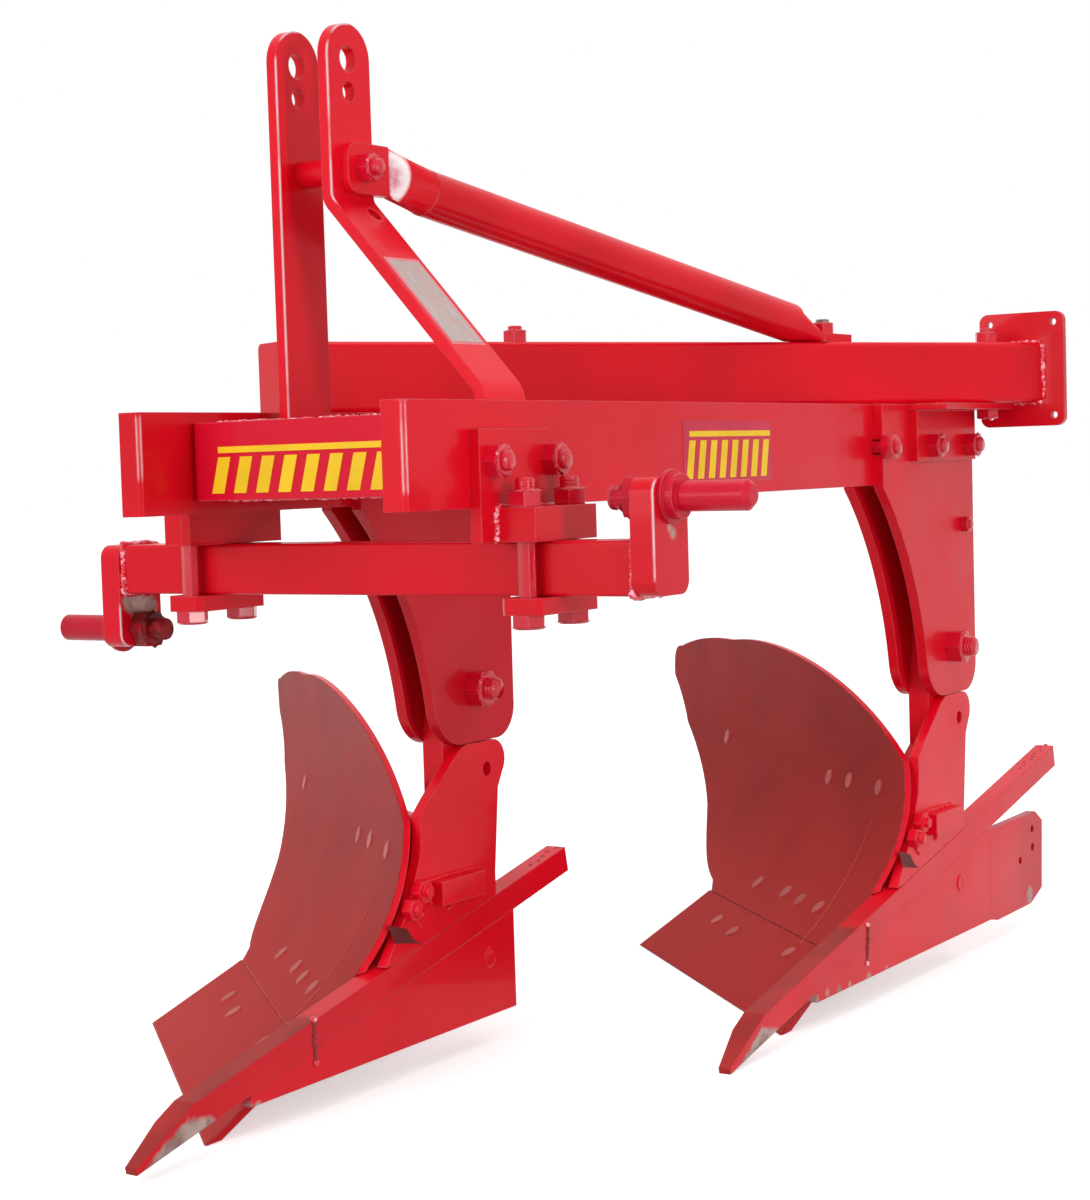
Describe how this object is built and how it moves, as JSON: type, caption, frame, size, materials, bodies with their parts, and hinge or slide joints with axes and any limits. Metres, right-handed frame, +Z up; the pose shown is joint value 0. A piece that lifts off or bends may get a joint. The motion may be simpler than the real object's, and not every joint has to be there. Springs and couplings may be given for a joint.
{
  "type": "moldboard plough",
  "caption": "Mounted moldboard plough: bodies in echelon on beams joined by a slanted top beam, with adjustable cross shaft, mast and sliding bar points.",
  "frame": {"origin": "bottom centre of the bounding box, on the ground under the plough", "axes": "+X to the plough's left, -Y the direction of travel with the hitch at the front, +Z up"},
  "size_m": [1.253, 1.733, 1.111],
  "materials": {
    "frame_paint": "gloss",
    "board_paint": "matte",
    "wear_steel": "matte",
    "plated_bolts": "satin",
    "pin_steel": "satin"
  },
  "bodies": {
    "frame": {"clamp_bolts": "plated_bolts", "end_plate": "frame_paint", "front_bar_clip": "frame_paint", "front_board_stay": "frame_paint", "front_cross_plate": "frame_paint", "front_cross_tube": "frame_paint", "front_frog": "frame_paint", "front_frog_side_plate": "frame_paint", "front_landside": "board_paint", "front_leg_bolts": "plated_bolts", "front_leg_left": "frame_paint", "front_leg_right": "frame_paint", "front_moldboard": "board_paint", "front_share": "wear_steel", "left_beam": "frame_paint", "mast_plate_left": "frame_paint", "mast_plate_right": "frame_paint", "mast_spacer": "frame_paint", "rear_bar_clip": "frame_paint", "rear_board_stay": "frame_paint", "rear_frog": "frame_paint", "rear_frog_side_plate": "frame_paint", "rear_landside": "board_paint", "rear_landside_heel": "board_paint", "rear_leg_bolts": "plated_bolts", "rear_leg_left": "frame_paint", "rear_leg_right": "frame_paint", "rear_moldboard": "board_paint", "rear_share": "wear_steel", "right_beam": "frame_paint", "shaft_bracket_left": "frame_paint", "shaft_bracket_right": "frame_paint", "shaft_clamp_left": "frame_paint", "shaft_clamp_right": "frame_paint", "stay_bolts": "plated_bolts", "stay_pipe": "frame_paint", "top_beam": "frame_paint", "top_beam_bolts": "plated_bolts", "top_bracket_front": "frame_paint", "top_bracket_rear": "frame_paint"},
    "cross_shaft": {"cross_shaft": "frame_paint", "hitch_crank_left": "frame_paint", "hitch_crank_right": "frame_paint", "hitch_pin_left": "pin_steel", "hitch_pin_right": "pin_steel"},
    "front_bar_point": {"front_bar_point": "wear_steel"},
    "rear_bar_point": {"rear_bar_point": "wear_steel"}
  },
  "joints": [
    {"name": "cross_shaft_shift", "type": "slide", "parent": "frame", "child": "cross_shaft", "axis": [1, 0, 0], "range_m": [-0.035, 0.035]},
    {"name": "front_point_slide", "type": "slide", "parent": "frame", "child": "front_bar_point", "axis": [0, -0.9781, -0.2079], "range_m": [-0.05, 0.15]},
    {"name": "rear_point_slide", "type": "slide", "parent": "frame", "child": "rear_bar_point", "axis": [0, -0.9781, -0.2079], "range_m": [-0.1, 0.1]}
  ]
}
